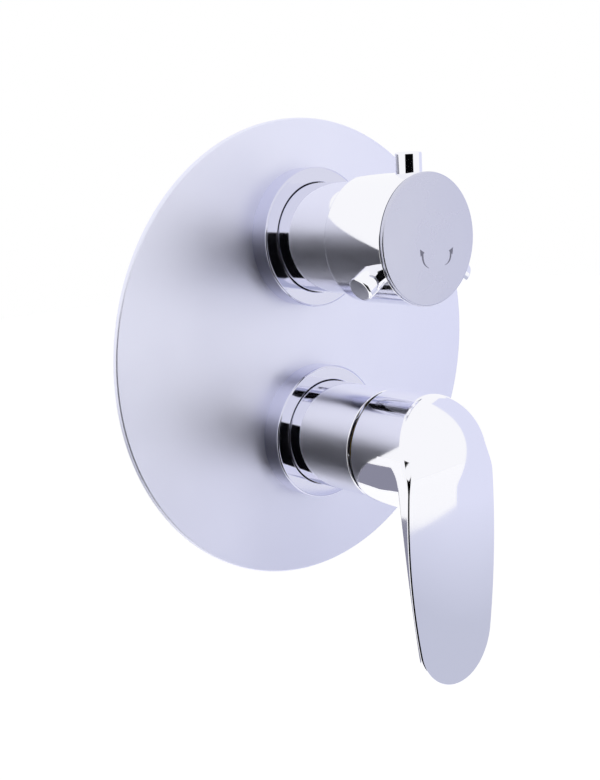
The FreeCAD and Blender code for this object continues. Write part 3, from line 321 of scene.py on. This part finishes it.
def turn_mark(name, tail, tip, bend):
    """A tapered strip from tail to tip, bowed to one side, with an arrow head, on the front of the cap."""
    start, end = Vector(tail), Vector(tip)
    along = (end - start).normalized()
    aside = Vector((-along.y, along.x))
    neck = end - along * HEAD_LENGTH
    left, right = [], []
    for step in range(MARK_STEPS + 1):
        share = step / MARK_STEPS
        middle = start.lerp(neck, share) + aside * bend * 4 * share * (1 - share)
        half = MARK_HALF_WIDTH * (0.15 + 0.85 * share)
        left.append(middle + aside * half)
        right.append(middle - aside * half)
    head = [neck + aside * HEAD_HALF_WIDTH, end, neck - aside * HEAD_HALF_WIDTH]
    bm = bmesh.new()
    front = UPPER + ROOM * CAP_FRONT * MM
    corners = [bm.verts.new(front + Vector((p.x, 0, p.y)) * MM) for p in left + head + right[::-1]]
    sheet = bmesh.ops.extrude_face_region(bm, geom=[bm.faces.new(corners)])
    raised = [v for v in sheet["geom"] if isinstance(v, bmesh.types.BMVert)]
    bmesh.ops.translate(bm, verts=raised, vec=ROOM * MARK_THICKNESS)
    bmesh.ops.triangulate(bm, faces=bm.faces[:])
    finish_piece(bm, name, "diverter_knob", mark_print)


mark_print = grained_finish("grey_print", "7A7A8C", "6C6C7E", 0.4 * MM, 0.001 * MM, 0.5)
turn_mark("turn_mark_left", (-0.9, -10.3), (-5.4, -3.1), MARK_BEND)
turn_mark("turn_mark_right", (7.9, -10.0), (12.6, -3.8), -MARK_BEND)

# %% [markdown]
# The lever is the one free form here: a cup over the shroud, a domed crown, and a blade that hangs down from
# it. It is made as one closed skin. A circle of edges is extruded ring by ring, and each ring is set to the
# section that the lever has there: from the inside of the cup, round its mouth, down the blade's back, round
# the fold of the front and across the face. First come the lever's sizes in millimetres, measured from the
# mixer axis and from the wall.

# %% Lever outline
CROWN, BULGE, TAPER, REACH = 23.0, 1.5, 2.4, 90.6
HUB_BACK, HUB_CREASE, HUB_MOUTH, HUB_WALL, HUB_TAPER = 48.6, 62.5, 22.8, 1.6, 0.6
CAVITY_FRONT, BOSS_RADIUS, BOSS_BACK = 64.0, 8.5, 55.0
FACE, FACE_DRUM, CROWN_BEND, CROWN_DROP = 81.3, 170.0, 50.0, 10.0
CROWN_ROUND, FOLD_ROUND = 4.0, 0.8
THINNEST, THINNEST_DROP, BACK_ARC = 2.6, 65.0, 369.0
SHOULDER, SHOULDER_TOP = 12.0, 3.0

TIP = CROWN - TAPER
TIP_DROP = REACH - TIP
WIDE_DROP = (math.sqrt((BULGE + TAPER) / BULGE * (TIP_DROP ** 2 - TAPER ** 2)) - TIP_DROP) * BULGE / TAPER
SIDE_ARC = (WIDE_DROP ** 2 / BULGE + 2 * CROWN + BULGE) / 2
ACROSS = SIDE_ARC - CROWN - BULGE
LEAN = math.atan2(WIDE_DROP, ACROSS)
TURN = math.atan2(TIP_DROP - WIDE_DROP, ACROSS)


def outline(share):
    """A point of the front outline and the way it faces: crown, left side, tip, right side."""
    side, tip = SIDE_ARC * (LEAN + TURN), TIP * (math.pi - 2 * TURN)
    along = (2 * share - 1) * (2 * side + tip)
    if share <= 0.5:
        facing, radius, x, z = LEAN + 2 * share * (math.pi - 2 * LEAN), CROWN, 0, 0
    elif along < side:
        facing, radius, x, z = math.pi - LEAN + along / SIDE_ARC, SIDE_ARC, ACROSS, -WIDE_DROP
    elif along < side + tip:
        facing, radius, x, z = math.pi + TURN + (along - side) / TIP, TIP, 0, -TIP_DROP
    else:
        facing, radius = 2 * math.pi - TURN + (along - side - tip) / SIDE_ARC, SIDE_ARC
        x, z = -ACROSS, -WIDE_DROP
    return x + radius * math.cos(facing), z + radius * math.sin(facing), facing


def round_hub(share, radius):
    """The point of a circle about the mixer axis that goes with a point of the outline."""
    turn = LEAN + 2 * share * (math.pi - 2 * LEAN)
    if share > 0.5:
        turn = math.pi - LEAN + (2 * share - 1) * (math.pi + 2 * LEAN)
    return radius * math.cos(turn), radius * math.sin(turn)


print("side arcs of", round(SIDE_ARC, 1), "mm, widest", round(WIDE_DROP, 1), "mm below the axis")

# %% [markdown]
# Three functions give the form in depth. The face is a wide upright drum that bends back over the crown. The
# back is a long hollow arc with a round shoulder under the crown. The fold between side and face is a ball
# that rolls along both: large round the crown, and small down the blade.

# %% Lever depths
BACK_CENTRE = FACE - THINNEST - BACK_ARC
SHOULDER_Z = SHOULDER_TOP - SHOULDER
SHOULDER_DEPTH = BACK_CENTRE + math.sqrt((BACK_ARC - SHOULDER) ** 2 - (SHOULDER_Z + THINNEST_DROP) ** 2)
SHOULDER_END = (SHOULDER_Z + THINNEST_DROP) * BACK_ARC / (BACK_ARC - SHOULDER) - THINNEST_DROP


def face_depth(x, z):
    """The depth of the front face."""
    reach = CROWN_BEND - FACE_DRUM + math.sqrt(FACE_DRUM ** 2 - x ** 2)
    rise = max(z + CROWN_DROP, 0)
    return FACE - CROWN_BEND + math.sqrt(reach ** 2 - rise ** 2)


def back_depth(z):
    """The depth of the blade's back."""
    if z >= SHOULDER_TOP:
        return HUB_CREASE
    if z > SHOULDER_END:
        return SHOULDER_DEPTH + math.sqrt(SHOULDER ** 2 - (z - SHOULDER_Z) ** 2)
    return BACK_CENTRE + math.sqrt(BACK_ARC ** 2 - (z + THINNEST_DROP) ** 2)


def rolled(share, step):
    """A point of the fold's rounding, a step of the way from the side to the face."""
    x, z, facing = outline(share)
    inward = Vector((-math.cos(facing), -math.sin(facing)))
    start = CROWN * math.sin(LEAN)
    run = min(max((start - z) / (start + CROWN_DROP), 0), 1)
    radius = CROWN_ROUND + (FOLD_ROUND - CROWN_ROUND) * run * run * (3 - 2 * run)
    slope, small = 0.0, 0.01
    for _ in range(6):
        reach = radius * (1 - math.sin(slope))
        near, far = (face_depth(x + inward.x * d, z + inward.y * d) for d in (reach, reach + small))
        slope = math.atan2(far - near, small)
    turn = math.pi - (math.pi / 2 - slope) * step
    reach, depth = radius * (1 + math.cos(turn)), near + radius * (math.sin(turn) - math.cos(slope))
    return x + inward.x * reach, z + inward.y * reach, depth


print("the fold at the top of the crown starts", round(rolled(0.25, 0)[2], 1), "mm from the wall")

# %% [markdown]
# The skin itself: every ring has the same number of columns, so each new ring is one extrusion of the last.

# %% Lever skin
COLUMNS, BACK_RINGS, FOLD_RINGS, FACE_RINGS = 600, 12, 10, 36
CAVITY = HUB_MOUTH - HUB_WALL


def hub_ring(radius, depth):
    """A ring about the mixer axis."""
    return lambda share: (*round_hub(share, radius), depth)


def back_ring(step):
    """A ring of the blade's back, a step of the way from the hub to the edge."""
    def point(share):
        x, z = round_hub(share, CROWN)
        taper = 1 - HUB_TAPER / CROWN * (back_depth(z) - HUB_CREASE) / (FACE - THINNEST - HUB_CREASE)
        edge_x, edge_z, _ = outline(share)
        x, z = x * taper * (1 - step) + edge_x * step, z * taper * (1 - step) + edge_z * step
        return x, z, back_depth(z)
    return point


def fold_ring(step):
    """A ring of the fold, a step of the way from the side to the face."""
    return lambda share: rolled(share, step)


def face_ring(shrink):
    """A ring of the front face, drawn in towards the middle of the lever."""
    def point(share):
        x, z, _ = rolled(share, 1)
        middle = (CROWN - REACH) / 2
        x, z = x * shrink, middle + (z - middle) * shrink
        return x, z, face_depth(x, z)
    return point


SECTIONS = [hub_ring(BOSS_RADIUS, BOSS_BACK), hub_ring(BOSS_RADIUS, CAVITY_FRONT),
            hub_ring(CAVITY, CAVITY_FRONT), hub_ring(CAVITY, HUB_BACK), hub_ring(HUB_MOUTH, HUB_BACK),
            hub_ring(CROWN, HUB_CREASE)]
SECTIONS += [back_ring(step / BACK_RINGS) for step in range(BACK_RINGS + 1)]
SECTIONS += [fold_ring(step / FOLD_RINGS) for step in range(FOLD_RINGS + 1)]
SECTIONS += [face_ring(1 - step / FACE_RINGS) for step in range(1, FACE_RINGS)]


def next_ring(bm, ring):
    """Extrude a ring of vertices, and give the new ring in the same order."""
    edges = [bm.edges.get((vert, ring[i - 1])) for i, vert in enumerate(ring)]
    extruded = bmesh.ops.extrude_edge_only(bm, edges=edges)["geom"]
    grown = {part for part in extruded if isinstance(part, bmesh.types.BMVert)}
    return [next(e.other_vert(old) for e in old.link_edges if e.other_vert(old) in grown) for old in ring]


bm = bmesh.new()
rings = [bmesh.ops.create_circle(bm, segments=COLUMNS, radius=MM)["verts"]]
for section in SECTIONS[1:]:
    rings.append(next_ring(bm, rings[-1]))
for section, ring in zip(SECTIONS, rings):
    for column, vert in enumerate(ring):
        x, z, depth = section(column / COLUMNS)
        vert.co = LOWER + Vector((x, -depth, z)) * MM
for ring in (rings[0], rings[-1]):
    bmesh.ops.contextual_create(bm, geom=ring)
print(len(rings), "rings of", COLUMNS, "columns")

# %% [markdown]
# Over the crown the rings of the back lie on each other, so their doubles are merged before the last edges
# are softened: the mouth of the cup, inside and outside, and the back edge of the blade.

# %% Lever edges
MOUTH_ROUND, BACK_ROUND = 0.35, 0.3
cavity_edge, mouth_edge, back_edge = rings[3], rings[4], rings[6 + BACK_RINGS]
bmesh.ops.remove_doubles(bm, verts=bm.verts, dist=MERGE)
bmesh.ops.recalc_face_normals(bm, faces=bm.faces)


def ring_edges(ring, test=lambda vert: True):
    """The edges between neighbours of a ring that are still there and whose ends pass a test."""
    pairs = [(vert, ring[i - 1]) for i, vert in enumerate(ring) if vert.is_valid and ring[i - 1].is_valid]
    return [e for e in map(bm.edges.get, pairs) if e and all(test(v) for v in e.verts)]


below_shoulder = ring_edges(back_edge, lambda vert: (vert.co - LOWER).z < SHOULDER_END * MM)
for edges, rounding in ((ring_edges(mouth_edge), MOUTH_ROUND), (ring_edges(cavity_edge), MOUTH_ROUND),
                        (below_shoulder, BACK_ROUND)):
    bmesh.ops.bevel(bm, geom=edges, offset=rounding * MM, offset_type="OFFSET", segments=EDGE_STEPS,
                    profile=0.5, affect="EDGES", material=-1)
print(len(below_shoulder), "back edges softened")
finish_piece(bm, "lever_paddle", "lever", bright_chrome, ["lever_handle"])

# %% [markdown]
# The studio is plain: a white room with a pale floor well below, and one soft lamp for the matt pieces. The
# floor is painted white and glows a little for the camera and for the chrome, so that it matches the room,
# and it still takes the part's shadow.

# %% Room, floor and lamp
def aim(azimuth, elevation):
    """The direction of an azimuth, to the right of straight ahead of the plate, and an elevation."""
    a, e = math.radians(azimuth), math.radians(elevation)
    return Vector((math.sin(a) * math.cos(e), -math.cos(a) * math.cos(e), math.sin(e)))


def seen_directly(owner):
    """A value of 1 for what the camera sees, also in a mirror or through glass, and 0 for other light."""
    rays = add_node(owner, "ShaderNodeLightPath")
    seen = rays.outputs["Is Camera Ray"]
    for ray in ("Is Glossy Ray", "Is Transmission Ray"):
        either = add_node(owner, "ShaderNodeMath", {0: seen, 1: rays.outputs[ray]}, operation="MAXIMUM")
        seen = either.outputs[0]
    return seen


def stage_board(name, matrix, material):
    """A flat board of the studio, one unit square before its matrix."""
    bm = bmesh.new()
    bmesh.ops.create_grid(bm, x_segments=1, y_segments=1, size=0.5, matrix=matrix)
    mesh = bpy.data.meshes.new(name)
    bm.to_mesh(mesh)
    bm.free()
    mesh.materials.append(material)
    board = bpy.data.objects.new(name, mesh)
    bpy.context.scene.collection.objects.link(board)
    return board


ROOM_LIGHT, FLOOR_DROP, FLOOR_SIZE, FLOOR_GLOW = 0.6, 0.9, 14.0, 0.44
world = bpy.data.worlds.new("white_room")
world.use_nodes = True
bpy.context.scene.world = world
level = add_node(world, "ShaderNodeMapRange", {"Value": seen_directly(world), "To Min": ROOM_LIGHT})
world.node_tree.links.new(level.outputs["Result"], world.node_tree.nodes["Background"].inputs["Strength"])
world.node_tree.nodes["Background"].inputs["Color"].default_value = linear("FFFFFF")

floor_paint, floor_shader = new_finish("white_floor_paint", Base_Color=linear("F6F6F6"), Roughness=0.9)
floor_shader.inputs["Emission Color"].default_value = linear("FFFFFF")
glow = add_node(floor_paint, "ShaderNodeMapRange", {
    "Value": seen_directly(floor_paint), "To Max": FLOOR_GLOW})
floor_paint.node_tree.links.new(glow.outputs["Result"], floor_shader.inputs["Emission Strength"])
stage_board("pale_floor", Matrix.Translation((0, 0, -FLOOR_DROP)) @ Matrix.Scale(FLOOR_SIZE, 4), floor_paint)

LAMP_SIZE, LAMP_POWER, LAMP_DISTANCE = 0.6, 4.0, 0.9
lamp = bpy.data.lights.new("soft_lamp", "AREA")
lamp.size = LAMP_SIZE
lamp.energy = LAMP_POWER
lamp_object = bpy.data.objects.new("soft_lamp", lamp)
lamp_way = aim(-25, 50)
lamp_turn = lamp_way.to_track_quat("Z", "Y").to_matrix().to_4x4()
lamp_object.matrix_world = Matrix.Translation(lamp_way * LAMP_DISTANCE) @ lamp_turn
lamp_object.visible_glossy = False
bpy.context.scene.collection.objects.link(lamp_object)
print("floor", FLOOR_DROP, "m below the middle of the plate")

# %% [markdown]
# A mirror finish has no look of its own: it shows what stands round it. A photographer sets large boards
# round chrome for that reason, and so does this lesson. Lilac boards low and to the right give the lever its
# soft lower half and its cool right edge. A black one stands on the camera's side: the pins show it as a
# stripe, and the tubes show it dimly by way of the satin plate. A grey one behind, low on the left, shapes
# the underside of the hub. All stand well away from the part. The camera and the matt pieces don't see them.

# %% Boards
BOARD_DISTANCE = 0.9
LEVER_FACE = Vector((-5, -81, -45)) * MM
FADE_BOTTOM, FADE_TOP = -0.455, -0.33
LILAC, DEEP_LILAC, BLACK, GREY = "E3E5F8", "C5C8D9", "050506", "8C8C9C"


def board_paint(name, top_code, bottom_code):
    """A glowing colour that runs from one at the upper height to another at the lower height."""
    paint = bpy.data.materials.new(name)
    paint.use_nodes = True
    paint.node_tree.nodes.clear()
    place = add_node(paint, "ShaderNodeTexCoord").outputs["Object"]
    height = add_node(paint, "ShaderNodeSeparateXYZ", {"Vector": place}).outputs["Z"]
    share = add_node(paint, "ShaderNodeMapRange", {
        "Value": height, "From Min": FADE_BOTTOM, "From Max": FADE_TOP})
    colour = add_node(paint, "ShaderNodeMix", {
        "Factor": share.outputs["Result"], 6: linear(bottom_code), 7: linear(top_code)}, data_type="RGBA")
    light = add_node(paint, "ShaderNodeEmission", {"Color": colour.outputs[2]})
    add_node(paint, "ShaderNodeOutputMaterial", {"Surface": light.outputs["Emission"]})
    return paint


def standing_board(name, top_code, bottom_code, azimuth, elevation, width, height, roll):
    """A board that stands off and faces the front of the lever, turned by its roll, for the chrome alone."""
    toward = aim(azimuth, elevation)
    turn = toward.to_track_quat("Z", "Y").to_matrix().to_4x4() @ Matrix.Rotation(math.radians(roll), 4, "Z")
    place = Matrix.Translation(LEVER_FACE + toward * BOARD_DISTANCE) @ turn
    size = Matrix.Diagonal((width, height, 1, 1))
    board = stage_board(name, place @ size, board_paint(name, top_code, bottom_code))
    board.visible_camera = False
    board.visible_diffuse = False
    board.visible_shadow = False
    print(name, "at", [round(c, 2) for c in place.translation])


standing_board("lilac_low_card", LILAC, DEEP_LILAC,
               azimuth=52, elevation=-30, width=1.9, height=0.383, roll=10)
standing_board("lilac_side_card", LILAC, LILAC,
               azimuth=77, elevation=4, width=0.76, height=1.05, roll=-14)
standing_board("dark_camera_side", BLACK, BLACK,
               azimuth=-42, elevation=-26, width=1.45, height=1.5, roll=0)
standing_board("grey_back_board", GREY, GREY,
               azimuth=-146, elevation=-32, width=0.5, height=0.5, roll=0)

# %% [markdown]
# The camera stands to the left and a little above, as the photographer did, with a short telephoto view. Its
# place was solved from the ellipses of the plate, collars and knob.

# %% Camera
AZIMUTH, ELEVATION, ROLL = -40.49, 11.66, -3.11
TARGET = Vector((-7.44, -3.0, -16.0)) * MM
DISTANCE = 456.2 * MM
LENS, FILM = 50.22, 36.0

camera = bpy.data.objects.new("camera", bpy.data.cameras.new("camera"))
bpy.context.scene.collection.objects.link(camera)
toward = aim(AZIMUTH, ELEVATION)
upright = toward.to_track_quat("Z", "Y").to_matrix().to_4x4()
camera.matrix_world = (Matrix.Translation(TARGET + toward * DISTANCE) @ upright
                       @ Matrix.Rotation(math.radians(ROLL), 4, "Z"))
camera.data.sensor_fit = "VERTICAL"
camera.data.sensor_height = FILM
camera.data.lens = LENS
bpy.context.scene.camera = camera
bpy.context.scene.view_settings.view_transform = "Standard"
print("camera at", [round(c / MM, 1) for c in camera.matrix_world.translation])
